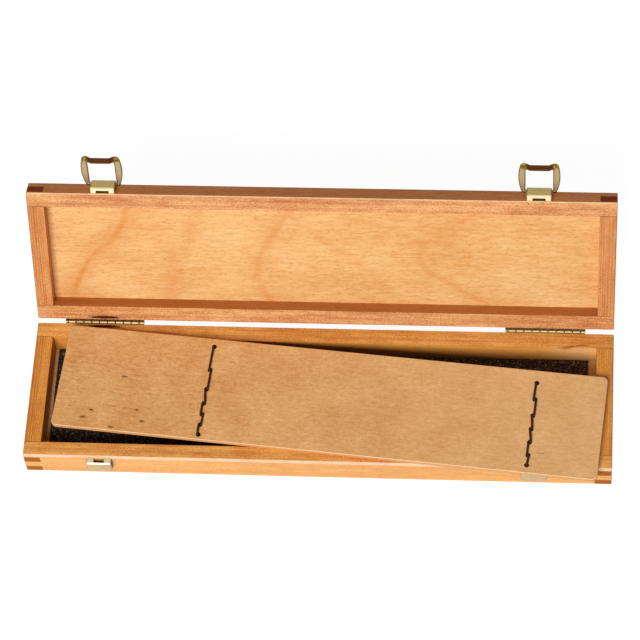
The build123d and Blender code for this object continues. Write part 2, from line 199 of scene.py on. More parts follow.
def use_group(tree, group, feeds):
    """Places a node group; a feed is a plain value or an output socket."""
    placed = node(tree, "ShaderNodeGroup", node_tree=group)
    for label, value in feeds.items():
        if isinstance(value, bpy.types.NodeSocket):
            tree.links.new(value, placed.inputs[label])
        else:
            placed.inputs[label].default_value = value
    return placed.outputs


def start_material(name):
    """A material with only its surface shader."""
    material = bpy.data.materials.new(name)
    material.use_nodes = True
    tree = material.node_tree
    tree.nodes.clear()
    surface = tree.nodes.new("ShaderNodeBsdfPrincipled")
    output = tree.nodes.new("ShaderNodeOutputMaterial")
    tree.links.new(surface.outputs[0], output.inputs["Surface"])
    return material, tree, surface


def bump(tree, surface, height, strength, distance):
    """Lets a height value dent the surface."""
    feeds = {"Height": height, "Strength": strength, "Distance": distance}
    tree.links.new(node(tree, "ShaderNodeBump", feeds).outputs[0], surface.inputs["Normal"])


def finish_nodes(material, *names):
    """Gives the named pieces of the model their material."""
    for name in names:
        nodes[name].data.materials.clear()
        nodes[name].data.materials.append(material)


lid_turn = (math.radians(115.0), 0.0, 0.0)
lid_shift = (0.0, 0.08805, -0.03639)


def box_frame(tree, lid=False):
    """Place and outward direction of a surface point, in the base's or the lid's own frame."""
    where = node(tree, "ShaderNodeTexCoord").outputs
    place, facing = where["Object"], where["Normal"]
    if lid:
        feeds = {"Vector": place, "Location": lid_shift, "Rotation": lid_turn}
        place = node(tree, "ShaderNodeMapping", feeds).outputs[0]
        feeds = {"Vector": facing, "Rotation": lid_turn}
        facing = node(tree, "ShaderNodeMapping", feeds).outputs[0]
    return place, facing


grain, grain_in, grain_out = start_group(
    "sawn grain",
    [
        ("Fibres", "Vector"),
        ("Pale", "Color"),
        ("Deep", "Color"),
        ("Line", "Color"),
        ("Rings per metre", "Float"),
        ("Ring strength", "Float"),
        ("Pore strength", "Float"),
    ],
    [("Color", "Color"), ("Height", "Float")],
)
fibres = grain_in.outputs["Fibres"]
streaks = drawn_noise(grain, fibres, 0.02, 900.0, 4.0, 0.65)
clouds = drawn_noise(grain, fibres, 0.12, 75.0, 3.0, 0.55)
flushes = drawn_noise(grain, fibres, 0.3, 230.0, 3.0, 0.6)
specks = drawn_noise(grain, fibres, 0.6, 1500.0, 2.0, 0.7)
pores = drawn_noise(grain, fibres, 0.3, 1500.0, 2.0, 0.6)
wander = drawn_noise(grain, fibres, 0.02, 70.0)
parts = split(grain, fibres)
over = math_node(grain, "MULTIPLY_ADD", parts["Z"], 0.45, parts["Y"])
over = math_node(grain, "MULTIPLY_ADD", wander, 0.007, over)
turns = math_node(grain, "MULTIPLY", over, grain_in.outputs["Rings per metre"])
wave = math_node(grain, "SINE", math_node(grain, "MULTIPLY", turns, 2 * math.pi))
line = math_node(grain, "POWER", ramp(grain, wave, -1.0, 1.0), 3.0)
uneven = ramp(grain, drawn_noise(grain, fibres, 0.02, 210.0, 1.0), 0.35, 0.62, 0.15, 1.0)
line = math_node(grain, "MULTIPLY", line, uneven)
line = math_node(grain, "MULTIPLY", line, grain_in.outputs["Ring strength"])
layers = [(streaks, 0.35, 0.65, 0.24), (clouds, 0.35, 0.65, 0.2)]
layers += [(flushes, 0.35, 0.65, 0.2), (specks, 0.36, 0.64, 0.36)]
tone = ramp(grain, layered(grain, layers), 0.27, 0.73)
ground = blend_colours(grain, tone, grain_in.outputs["Pale"], grain_in.outputs["Deep"])
ground = blend_colours(grain, line, ground, grain_in.outputs["Line"])
dashes = ramp(grain, pores, 0.57, 0.68)
flecked = math_node(grain, "MULTIPLY", dashes, grain_in.outputs["Pore strength"])
coloured = blend_colours(grain, flecked, ground, grain_in.outputs["Line"])
grain.links.new(coloured, grain_out.inputs["Color"])
relief = math_node(grain, "MULTIPLY_ADD", dashes, -0.6, streaks)
grain.links.new(relief, grain_out.inputs["Height"])

slanted, square = 0.72, 0.9
end_grain, end_in, end_out = start_group(
    "end grain",
    [("Fibres", "Vector"), ("Along", "Float"), ("Pale", "Color"), ("Deep", "Color")],
    [("Color", "Color"), ("Share", "Float")],
)
across_cut = scaled(end_grain, end_in.outputs["Fibres"], (0.0, 1.0, 1.0))
dots = noise(end_grain, across_cut, 2600.0)
arcs = noise(end_grain, across_cut, 260.0)
shade = layered(end_grain, [(dots, 0.35, 0.68, 0.5), (arcs, 0.3, 0.7, 0.5)])
stained = blend_colours(end_grain, shade, end_in.outputs["Pale"], end_in.outputs["Deep"])
end_grain.links.new(stained, end_out.inputs["Color"])
facing_end = math_node(end_grain, "ABSOLUTE", end_in.outputs["Along"])
end_grain.links.new(ramp(end_grain, facing_end, slanted, square), end_out.inputs["Share"])

sides_of, sides_in, sides_out = start_group(
    "sides of the frame",
    [("Place", "Vector"), ("Facing", "Vector")],
    [("Outer", "Float"), ("Inner", "Float"), ("Front edge", "Float"), ("Other edge", "Float")],
)
place = split(sides_of, sides_in.outputs["Place"])
facing = split(sides_of, sides_in.outputs["Facing"])
off_end = math_node(sides_of, "MULTIPLY", facing["X"], math_node(sides_of, "SIGN", place["X"]))
off_rail = math_node(sides_of, "MULTIPLY", facing["Y"], math_node(sides_of, "SIGN", place["Y"]))
most = math_node(sides_of, "MAXIMUM", off_end, off_rail)
least = math_node(sides_of, "MINIMUM", off_end, off_rail)
outer = ramp(sides_of, most, slanted, square)
inner = ramp(sides_of, least, -square, -slanted, 1.0, 0.0)
sides_of.links.new(outer, sides_out.inputs["Outer"])
sides_of.links.new(inner, sides_out.inputs["Inner"])
bevelled = within(sides_of, math_node(sides_of, "ABSOLUTE", facing["Z"]), 0.7, 0.12, 0.08)
frontal = ramp(sides_of, facing["Y"], -0.6, -0.4, 1.0, 0.0)
front_edge = math_node(sides_of, "MULTIPLY", bevelled, frontal)
sides_of.links.new(front_edge, sides_out.inputs["Front edge"])
elsewhere = math_node(sides_of, "SUBTRACT", 1.0, frontal)
other_edge = math_node(sides_of, "MULTIPLY", bevelled, elsewhere)
sides_of.links.new(other_edge, sides_out.inputs["Other edge"])

spot, spot_in, spot_out = start_group(
    "long spot",
    [("Place", "Vector"), ("Centre", "Vector"), ("Turn", "Float"), ("Size", "Vector")],
    [("Share", "Float")],
)
feeds = {0: spot_in.outputs["Place"], 1: spot_in.outputs["Centre"]}
offset = node(spot, "ShaderNodeVectorMath", feeds, operation="SUBTRACT").outputs[0]
feeds = {"Vector": offset, "Angle": spot_in.outputs["Turn"]}
turned = node(spot, "ShaderNodeVectorRotate", feeds, rotation_type="Z_AXIS").outputs[0]
feeds = {0: turned, 1: spot_in.outputs["Size"]}
shrunk = node(spot, "ShaderNodeVectorMath", feeds, operation="DIVIDE").outputs[0]
reach = node(spot, "ShaderNodeVectorMath", {0: shrunk}, operation="LENGTH").outputs["Value"]
ragged = drawn_noise(spot, spot_in.outputs["Place"], 0.3, 1500.0)
reach = math_node(spot, "ADD", reach, ramp(spot, ragged, 0.3, 0.7, -0.3, 0.3))
spot.links.new(ramp(spot, reach, 0.35, 1.05, 1.0, 0.0), spot_out.inputs["Share"])

# outer and inner are painted light and shade: tones for the faces that look out of and into the
# frame. edge is a painted highlight on the front bevel, and side_edge is painted shade on the other
# bevels.
rail_finishes = {
    "base_long": {
        "lid": False, "across": False, "rings": 190.0, "ring_strength": 0.4, "pores": 0.5,
        "pale": (0.98, 0.48, 0.125), "deep": (0.62, 0.2, 0.028), "line": (0.42, 0.1, 0.012),
        "outer": (0.68, 0.385, 0.15), "inner": (0.74, 0.3, 0.05), "outer_share": 0.5,
        "edge": (0.7, 0.48, 0.3), "side_edge": (0.5, 0.2, 0.05),
        "end_pale": (0.43, 0.135, 0.014), "end_deep": (0.28, 0.078, 0.007),
    },
    "base_short": {
        "lid": False, "across": True, "rings": 600.0, "ring_strength": 0.9, "pores": 0.3,
        "pale": (0.93, 0.42, 0.09), "deep": (0.64, 0.2, 0.022), "line": (0.28, 0.06, 0.006),
        "outer": (0.62, 0.26, 0.07), "inner": (0.8, 0.22, 0.028), "outer_share": 0.55,
        "edge": (0.7, 0.48, 0.3), "side_edge": (0.42, 0.15, 0.03),
        "end_pale": (0.43, 0.135, 0.014), "end_deep": (0.28, 0.078, 0.007),
    },
    "lid_long": {
        "lid": True, "across": False, "rings": 240.0, "ring_strength": 0.35, "pores": 0.7,
        "pale": (0.82, 0.43, 0.175), "deep": (0.47, 0.15, 0.042), "line": (0.36, 0.08, 0.016),
        "outer": (0.98, 0.26, 0.036), "inner": (0.53, 0.17, 0.028), "outer_share": 0.55,
        "edge": (0.98, 0.66, 0.36), "side_edge": (0.5, 0.16, 0.05),
        "end_pale": (0.4, 0.07, 0.01), "end_deep": (0.26, 0.035, 0.006),
    },
    "lid_short": {
        "lid": True, "across": True, "rings": 600.0, "ring_strength": 0.8, "pores": 0.35,
        "pale": (0.72, 0.33, 0.11), "deep": (0.5, 0.165, 0.04), "line": (0.24, 0.05, 0.008),
        "outer": (0.45, 0.14, 0.04), "inner": (0.55, 0.18, 0.035), "outer_share": 0.55,
        "edge": (0.98, 0.66, 0.36), "side_edge": (0.3, 0.08, 0.02),
        "end_pale": (0.4, 0.07, 0.01), "end_deep": (0.26, 0.035, 0.006),
    },
}
# Each mark has its middle, its angle and its half sizes, in metres in the piece's own frame.
rail_marks = {
    "base_long": [
        ((0.1466, 0.0366, 0.02), 0.14, (0.006, 0.0008, 0.003)),
        ((0.1545, 0.0380, 0.02), 0.12, (0.0075, 0.0009, 0.003)),
        ((0.1620, 0.0392, 0.02), 0.05, (0.006, 0.0006, 0.003)),
    ],
    "lid_long": [((0.1659, 0.0425, 0.0), math.radians(90.0), (0.0045, 0.0003, 0.003))],
}
blade_marks = {"base_long": (-0.1396, 0.0459, 0.0198), "lid_long": (-0.1396, 0.0459, 0.0002)}
blade_mark_half = (0.0122, 0.0014, 0.0012)
seam_place, seam_half, seam_soft = 0.0375, 0.00012, 0.00025
seam_start = 0.1715
painted_light_wood = (0.95, 0.58, 0.26, 1.0)
seam_colour = (0.2, 0.05, 0.01, 1.0)
mark_colour = (0.34, 0.07, 0.01, 1.0)
blade_recess_shade_colour = (0.15, 0.024, 0.002, 1.0)
for name, look in rail_finishes.items():
    material, tree, surface = start_material("rail_" + name)
    place, facing = box_frame(tree, look["lid"])
    turn = (0.0, 0.0, math.radians(90.0) if look["across"] else 0.0)
    fibres = node(tree, "ShaderNodeMapping", {"Vector": place, "Rotation": turn}).outputs[0]
    parts = split(tree, place)
    fainter = ramp(tree, parts["X"], -0.1, 0.1, 1.0, 0.6)
    rings = math_node(tree, "MULTIPLY", fainter, look["ring_strength"])
    feeds = {
        "Fibres": fibres,
        "Pale": (*look["pale"], 1.0),
        "Deep": (*look["deep"], 1.0),
        "Line": (*look["line"], 1.0),
        "Rings per metre": look["rings"],
        "Ring strength": rings,
        "Pore strength": look["pores"],
    }
    sawn = use_group(tree, grain, feeds)
    side = use_group(tree, sides_of, {"Place": place, "Facing": facing})
    # Faces that look out of and into the frame take their painted light and shade tones.
    share = math_node(tree, "MULTIPLY", side["Outer"], look["outer_share"])
    colour = blend_colours(tree, share, sawn["Color"], (*look["outer"], 1.0))
    toned = blend_colours(tree, 0.7, sawn["Color"], (*look["inner"], 1.0))
    # Towards the base's right end the inner faces are painted paler, as painted light.
    inner_painted_light = ramp(tree, parts["X"], 0.135, 0.165, 0.0, 0.0 if look["lid"] else 0.55)
    toned = blend_colours(tree, inner_painted_light, toned, painted_light_wood)
    colour = blend_colours(tree, side["Inner"], colour, toned)
    # The front bevel takes a painted highlight, uneven along its length.
    edge_highlight = ramp(tree, noise(tree, fibres, 90.0, 2.0), 0.3, 0.6, 0.6, 1.0)
    edge_highlight = math_node(tree, "MULTIPLY", side["Front edge"], edge_highlight)
    colour = blend_colours(tree, edge_highlight, colour, (*look["edge"], 1.0))
    shaded = math_node(tree, "MULTIPLY", side["Other edge"], 0.7)
    colour = blend_colours(tree, shaded, colour, (*look["side_edge"], 1.0))
    feeds = {
        "Fibres": fibres,
        "Along": split(tree, facing)["Y" if look["across"] else "X"],
        "Pale": (*look["end_pale"], 1.0),
        "Deep": (*look["end_deep"], 1.0),
    }
    ends = use_group(tree, end_grain, feeds)
    colour = blend_colours(tree, ends["Share"], colour, ends["Color"])
    off_middle = math_node(tree, "ABSOLUTE", parts["Y"])
    seam = within(tree, off_middle, seam_place, seam_half, seam_soft)
    off_middle = math_node(tree, "ABSOLUTE", parts["X"])
    near_end = ramp(tree, off_middle, seam_start, seam_start + 0.0003)
    seam = math_node(tree, "MULTIPLY", math_node(tree, "MULTIPLY", seam, near_end), 0.6)
    colour = blend_colours(tree, seam, colour, seam_colour)
    for centre, angle, half in rail_marks.get(name, []):
        feeds = {"Place": place, "Centre": centre, "Turn": -angle, "Size": half}
        share = math_node(tree, "MULTIPLY", use_group(tree, spot, feeds)["Share"], 0.75)
        colour = blend_colours(tree, share, colour, mark_colour)
    matt = ends["Share"]
    # The blade's shallow recess in each rail is painted dark as shade.
    if name in blade_marks:
        feeds = {"Place": place, "Centre": blade_marks[name], "Turn": 0.0, "Size": blade_mark_half}
        recess_shade = ramp(tree, use_group(tree, spot, feeds)["Share"], 0.05, 0.6)
        colour = blend_colours(tree, recess_shade, colour, blade_recess_shade_colour)
        matt = math_node(tree, "MAXIMUM", matt, recess_shade)
    tree.links.new(colour, surface.inputs["Base Color"])
    tree.links.new(ramp(tree, matt, 0.0, 1.0, 0.18, 0.04), surface.inputs["Specular IOR Level"])
    tree.links.new(ramp(tree, matt, 0.0, 1.0, 0.08, 0.0), surface.inputs["Coat Weight"])
    gloss = ramp(tree, sawn["Height"], 0.2, 0.8, 0.4, 0.52)
    tree.links.new(gloss, surface.inputs["Roughness"])
    surface.inputs["Coat Roughness"].default_value = 0.25
    bump(tree, surface, sawn["Height"], 0.12, 0.0002)
    rails = ("front_rail", "back_rail") if name.endswith("long") else ("left_end", "right_end")
    finish_nodes(material, *(name.split("_")[0] + "_" + rail for rail in rails))


# Panels: thin birch plywood let into the frames, varnished like the rails. The lid's panel
# shows its veneer's figure as reddish bands, curves across the panel with soft edges.
veneer, veneer_in, veneer_out = start_group(
    "rotary veneer",
    [
        ("Fibres", "Vector"),
        ("Pale", "Color"),
        ("Deep", "Color"),
        ("Dash", "Color"),
        ("Mottle", "Float"),
        ("Dashes", "Float"),
    ],
    [("Color", "Color"), ("Height", "Float")],
)
fibres = veneer_in.outputs["Fibres"]
patches = drawn_noise(veneer, fibres, 0.5, 38.0, 3.0, 0.55)
ripple = drawn_noise(veneer, fibres, 0.22, 560.0, 3.0, 0.7)
threads = drawn_noise(veneer, fibres, 0.05, 1100.0, 3.0, 0.6)
pores = drawn_noise(veneer, fibres, 0.25, 1500.0, 2.0, 0.6)
layers = [(patches, 0.3, 0.7, 0.4), (threads, 0.34, 0.66, 0.24)]
layers += [(ripple, 0.33, 0.67, veneer_in.outputs["Mottle"])]
tone = ramp(veneer, layered(veneer, layers), 0.15, 0.9)
ground = blend_colours(veneer, tone, veneer_in.outputs["Pale"], veneer_in.outputs["Deep"])
dashes = ramp(veneer, pores, 0.55, 0.68)
dashes = math_node(veneer, "MULTIPLY", dashes, veneer_in.outputs["Dashes"])
dashed = blend_colours(veneer, dashes, ground, veneer_in.outputs["Dash"])
veneer.links.new(dashed, veneer_out.inputs["Color"])
veneer.links.new(ripple, veneer_out.inputs["Height"])

band, band_in, band_out = start_group(
    "figure band",
    [
        ("Along", "Float"),
        ("Across", "Float"),
        ("Place", "Float"),
        ("Slope", "Float"),
        ("Bow", "Float"),
        ("Step", "Float"),
        ("Middle", "Float"),
        ("Width", "Float"),
    ],
    [("Share", "Float")],
)
off_middle = math_node(band, "SUBTRACT", band_in.outputs["Across"], band_in.outputs["Middle"])
bowed = math_node(band, "MULTIPLY", off_middle, off_middle)
bowed = math_node(band, "MULTIPLY", bowed, band_in.outputs["Bow"])
sloped = math_node(band, "MULTIPLY", off_middle, band_in.outputs["Slope"])
curve = math_node(band, "ADD", math_node(band, "ADD", sloped, band_in.outputs["Place"]), bowed)
step_steepness = 65.0
stepped = math_node(band, "TANH", math_node(band, "MULTIPLY", off_middle, step_steepness))
curve = math_node(band, "MULTIPLY_ADD", stepped, band_in.outputs["Step"], curve)
away = math_node(band, "SUBTRACT", band_in.outputs["Along"], curve)
away = math_node(band, "DIVIDE", away, band_in.outputs["Width"])
bell = math_node(band, "MULTIPLY", math_node(band, "MULTIPLY", away, away), -1.0)
band.links.new(math_node(band, "EXPONENT", bell), band_out.inputs["Share"])


def veneer_material(place, tree, surface, look):
    """Feeds a varnished veneer face to the surface and returns its colour."""
    feeds = {
        "Fibres": place,
        "Pale": (*look["pale"], 1.0),
        "Deep": (*look["deep"], 1.0),
        "Dash": (*look["dash"], 1.0),
        "Mottle": look["mottle"],
        "Dashes": look["dashes"],
    }
    face = use_group(tree, veneer, feeds)
    bump(tree, surface, face["Height"], 0.1, 0.0002)
    surface.inputs["Roughness"].default_value = 0.5
    surface.inputs["Specular IOR Level"].default_value = 0.16
    return face["Color"]


lid_veneer = {
    "pale": (0.82, 0.51, 0.225), "deep": (0.66, 0.31, 0.092), "dash": (0.4, 0.12, 0.022),
    "mottle": 0.4, "dashes": 0.4,
}
# Each band has its place, slope, bow, step and middle, then widths with their strengths.
figure_bands = [
    (-0.1410, -0.12, 0.0, -0.0155, 0.002, ((0.0032, 1.0), (0.0095, 0.5))),
    (-0.0865, -0.42, 0.0, 0.0, 0.0, ((0.006, 0.5),)),
    (-0.0395, -0.30, 12.0, 0.0, 0.0, ((0.004, 0.7), (0.01, 0.35))),
    (0.0655, 0.0, 30.0, 0.0, 0.0015, ((0.0045, 0.6), (0.013, 0.35))),
    (0.0200, 1.1, 0.0, 0.0, 0.008, ((0.005, 0.35),)),
]
band_colour = (0.62, 0.235, 0.055, 1.0)
sway = 0.02
panel_marks = [
    ((-0.0988, -0.0214, 0.0095), 0.1, (0.0016, 0.0006, 0.01)),
    ((0.0921, -0.0083, 0.0095), 0.0, (0.0012, 0.0005, 0.01)),
]
material, tree, surface = start_material("lid_veneer")
place = box_frame(tree, lid=True)[0]
colour = veneer_material(place, tree, surface, lid_veneer)
wavering = noise(tree, place, 26.0, 1.5)
parts = split(tree, place)
along = math_node(tree, "MULTIPLY_ADD", wavering, sway, parts["X"])
along = math_node(tree, "SUBTRACT", along, sway / 2)
total = 0.0
for where, slope, bow, step, middle, widths in figure_bands:
    feeds = {"Along": along, "Across": parts["Y"], "Place": where, "Slope": slope}
    feeds.update({"Bow": bow, "Step": step, "Middle": middle})
    for width, strength in widths:
        feeds["Width"] = width
        share = math_node(tree, "MULTIPLY", use_group(tree, band, feeds)["Share"], strength)
        total = math_node(tree, "MAXIMUM", total, share)
broken = drawn_noise(tree, place, 0.3, 160.0, 3.0)
total = math_node(tree, "MULTIPLY", total, ramp(tree, broken, 0.25, 0.7, 0.35, 1.0))
colour = blend_colours(tree, total, colour, band_colour)
for centre, angle, half in panel_marks:
    feeds = {"Place": place, "Centre": centre, "Turn": -angle, "Size": half}
    share = math_node(tree, "MULTIPLY", use_group(tree, spot, feeds)["Share"], 0.7)
    colour = blend_colours(tree, share, colour, (0.3, 0.08, 0.015, 1.0))
tree.links.new(colour, surface.inputs["Base Color"])
finish_nodes(material, "lid_panel")

base_veneer = {
    "pale": (0.97, 0.62, 0.28), "deep": (0.86, 0.48, 0.18), "dash": (0.4, 0.14, 0.03),
    "mottle": 0.3, "dashes": 0.4,
}
material, tree, surface = start_material("base_veneer")
colour = veneer_material(box_frame(tree)[0], tree, surface, base_veneer)
tree.links.new(colour, surface.inputs["Base Color"])
finish_nodes(material, "base_bottom_panel")


# Foam: one sheet of dark open-cell foam loose on the floor, cut a little short at both ends.
# Its top is slightly crowned, and its cut edges are softened.
def padded_sheet(low, high, edge_radius, crown, along_count, across_count):
    """Closed pad: the top drops by a quarter circle at its rim and swells inward as a parabola."""
    steepest, dome_reach = 0.98, 0.012
    centre = (low + high) / 2
    half = (high - low) / 2
    u = np.linspace(-1, 1, along_count)
    v = np.linspace(-1, 1, across_count)
    uu, vv = np.meshgrid(u, v, indexing="ij")
    x = uu * half[0]
    y = vv * half[1]
    from_edge = np.minimum(half[0] - np.abs(x), half[1] - np.abs(y))
    rounded = np.clip(1 - from_edge / edge_radius, 0, 1)
    drop = edge_radius * (1 - np.sqrt(1 - rounded**2)) * steepest
    dome = crown * (1 - np.clip(1 - from_edge / dome_reach, 0, 1) ** 2) - crown
    top = high[2] - drop + dome
    bottom = np.full_like(top, low[2])
    grid_top = np.stack([x + centre[0], y + centre[1], top], -1).reshape(-1, 3)
    grid_low = np.stack([x + centre[0], y + centre[1], bottom], -1).reshape(-1, 3)
    index = np.arange(along_count * across_count).reshape(along_count, across_count)
    a, b, c, d = index[:-1, :-1], index[1:, :-1], index[1:, 1:], index[:-1, 1:]
    upper = np.stack([a, b, c, d], -1).reshape(-1, 4)
    lower = upper[:, ::-1] + index.size
    rim = np.concatenate([index[:, 0], index[-1, 1:], index[-2::-1, -1], index[0, -2:0:-1]])
    following = np.roll(rim, -1)
    wall = np.stack([rim + index.size, following + index.size, following, rim], -1)
    return np.concatenate([grid_top, grid_low]), np.concatenate([upper, lower, wall])


def mesh_piece(name, points, faces, material):
    """A smooth piece from its points and faces, at the origin."""
    mesh = bpy.data.meshes.new(name)
    mesh.from_pydata(points.tolist(), [], faces.tolist())
    mesh.polygons.foreach_set("use_smooth", np.full(len(mesh.polygons), True))
    mesh.materials.append(material)
    mesh.update()
    piece = bpy.data.objects.new(name, mesh)
    scene.collection.objects.link(piece)
    return piece


foam_material, tree, surface = start_material("dark_foam")
place = node(tree, "ShaderNodeTexCoord").outputs["Object"]
cells = node(tree, "ShaderNodeTexVoronoi", {"Vector": place, "Scale": 900.0}).outputs["Distance"]
crumbs = ramp(tree, noise(tree, place, 1000.0, 2.0, 0.7), 0.52, 0.68)
colour = blend_colours(tree, crumbs, (0.036, 0.016, 0.008, 1.0), (0.36, 0.28, 0.2, 1.0))
tree.links.new(colour, surface.inputs["Base Color"])
surface.inputs["Roughness"].default_value = 0.95
surface.inputs["Specular IOR Level"].default_value = 0.15
bump(tree, surface, math_node(tree, "ADD", cells, crumbs), 0.6, 0.0006)
foam_low, foam_high = (np.array(corner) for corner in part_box("foam_liner"))
foam_edge, foam_crown = 0.0009, 0.0002
points, faces = padded_sheet(foam_low, foam_high, foam_edge, foam_crown, 300, 70)
foam = mesh_piece("foam_sheet", points, faces, foam_material)
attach(foam, "base")
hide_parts("foam_liner")


# Hinges: two lengths of knuckled brass strip on thin pins, their leaves driven into kerfs.
# The brass is dull and brown, with a painted highlight on the crowns and painted shade between the
# knuckles.
hinge_colours = {"painted_highlight": (0.46, 0.35, 0.18, 1.0), "dull": (0.14, 0.075, 0.015, 1.0)}
hinge_starts = {"left": -0.1647, "right": 0.1145}
first_knuckle, knuckle_pitch = 0.0016, 0.00505
highlight_side = (0.0, -0.83, 0.56)
# The left leaf lies bare in the blade's hollow of the lid's rail, and is painted dark there as
# shade.
hollow_middle, hollow_half = (-0.1396, 0.04555, 0.0005), (0.0099, 0.0008, 0.0004)
for side, start in hinge_starts.items():
    material, tree, surface = start_material("hinge_brass_" + side)
    place, facing = box_frame(tree)
    # Faces turned towards the lamp and camera take a painted highlight on each knuckle's crown.
    cloudy = noise(tree, place, 320.0, 3.0, 0.6)
    feeds = {0: facing, 1: highlight_side}
    upward = node(tree, "ShaderNodeVectorMath", feeds, operation="DOT_PRODUCT").outputs["Value"]
    upward = math_node(tree, "SUBTRACT", upward, 0.04)
    crown = math_node(tree, "MULTIPLY_ADD", cloudy, 0.08, upward)
    share = ramp(tree, crown, 0.92, 0.985)
    colour = blend_colours(tree, share, hinge_colours["dull"], hinge_colours["painted_highlight"])
    # The gaps between the knuckles are painted dark as shade.
    from_first = math_node(tree, "SUBTRACT", split(tree, place)["X"], start + first_knuckle)
    pitches = math_node(tree, "DIVIDE", from_first, knuckle_pitch)
    to_gap = math_node(tree, "PINGPONG", pitches, 0.5)
    knuckle_gap_shade = ramp(tree, to_gap, 0.05, 0.12, 1.0, 0.0)
    colour = blend_colours(tree, knuckle_gap_shade, colour, (0.035, 0.016, 0.004, 1.0))
    if side == "left":
        parts = split(tree, box_frame(tree, lid=True)[0])
        hollow_shade = 1.0
        for axis, middle, half in zip("XYZ", hollow_middle, hollow_half):
            inside = within(tree, parts[axis], middle, half, 0.0001)
            hollow_shade = math_node(tree, "MULTIPLY", hollow_shade, inside)
        colour = blend_colours(tree, hollow_shade, colour, (0.1, 0.02, 0.004, 1.0))
    tree.links.new(colour, surface.inputs["Base Color"])
    surface.inputs["Metallic"].default_value = 0.85
    tree.links.new(ramp(tree, cloudy, 0.3, 0.7, 0.42, 0.55), surface.inputs["Roughness"])
    bump(tree, surface, cloudy, 0.15, 0.0001)
    finish_nodes(material, *(f"hinge_{side}_{piece}" for piece in ("base_leaf", "lid_leaf", "pin")))


# Clasps: stamped brass sheet, a bracket with its spring and bail on the lid and a catch on the
# base. Faces are khaki; the bracket's wall towards the rim has a painted cream highlight, and
# sideways faces and the bail's edges, bar and pivots have painted shade.
brass_group, brass_in, brass_out = start_group(
    "aged brass",
    [("Place", "Vector"), ("Face", "Color"), ("Tarnish", "Color")],
    [("Color", "Color"), ("Height", "Float")],
)
cloudy = noise(brass_group, brass_in.outputs["Place"], 300.0, 3.0, 0.6)
rolled = drawn_noise(brass_group, brass_in.outputs["Place"], 0.05, 1800.0)
tone = layered(brass_group, [(cloudy, 0.35, 0.75, 0.4), (rolled, 0.35, 0.7, 0.25)])
aged = blend_colours(brass_group, tone, brass_in.outputs["Face"], brass_in.outputs["Tarnish"])
brass_group.links.new(aged, brass_out.inputs["Color"])
brass_group.links.new(rolled, brass_out.inputs["Height"])


def brass_material(name, lid, face, tarnish):
    """Aged brass in the base's or the lid's frame, with what masks are made from and its colour."""
    material, tree, surface = start_material(name)
    place, facing = box_frame(tree, lid)
    feeds = {"Place": place, "Face": (*face, 1.0), "Tarnish": (*tarnish, 1.0)}
    brass = use_group(tree, brass_group, feeds)
    surface.inputs["Metallic"].default_value = 0.8
    surface.inputs["Roughness"].default_value = 0.42
    bump(tree, surface, brass["Height"], 0.1, 0.0001)
    return material, tree, surface, place, facing, brass["Color"]


def sideways_shade(tree, facing, colour, low, high, shade_colour):
    """Darkens the faces that look sideways with painted shade."""
    sideways = math_node(tree, "ABSOLUTE", split(tree, facing)["X"])
    return blend_colours(tree, ramp(tree, sideways, low, high), colour, shade_colour)


made = brass_material("bracket_brass", True, (0.55, 0.41, 0.15), (0.38, 0.27, 0.075))
material, tree, surface, place, facing, colour = made
# The faces turned towards the rim take a painted cream highlight.
painted_highlight = ramp(tree, split(tree, facing)["Z"], -0.9, -0.5, 1.0, 0.0)
colour = blend_colours(tree, painted_highlight, colour, (0.87, 0.7, 0.43, 1.0))
colour = sideways_shade(tree, facing, colour, 0.6, 0.9, (0.16, 0.1, 0.03, 1.0))
tree.links.new(colour, surface.inputs["Base Color"])
finish_nodes(material, "bracket_left", "bracket_right")

made = brass_material("spring_brass", True, (0.6, 0.42, 0.15), (0.42, 0.28, 0.08))
material, tree, surface, place, facing, colour = made
tree.links.new(colour, surface.inputs["Base Color"])
finish_nodes(material, "clasp_spring_left", "clasp_spring_right")

made = brass_material("catch_brass", False, (0.75, 0.58, 0.34), (0.54, 0.39, 0.19))
material, tree, surface, place, facing, colour = made
colour = sideways_shade(tree, facing, colour, 0.6, 0.9, (0.14, 0.08, 0.025, 1.0))
tree.links.new(colour, surface.inputs["Base Color"])
finish_nodes(material, "catch_left", "catch_right")

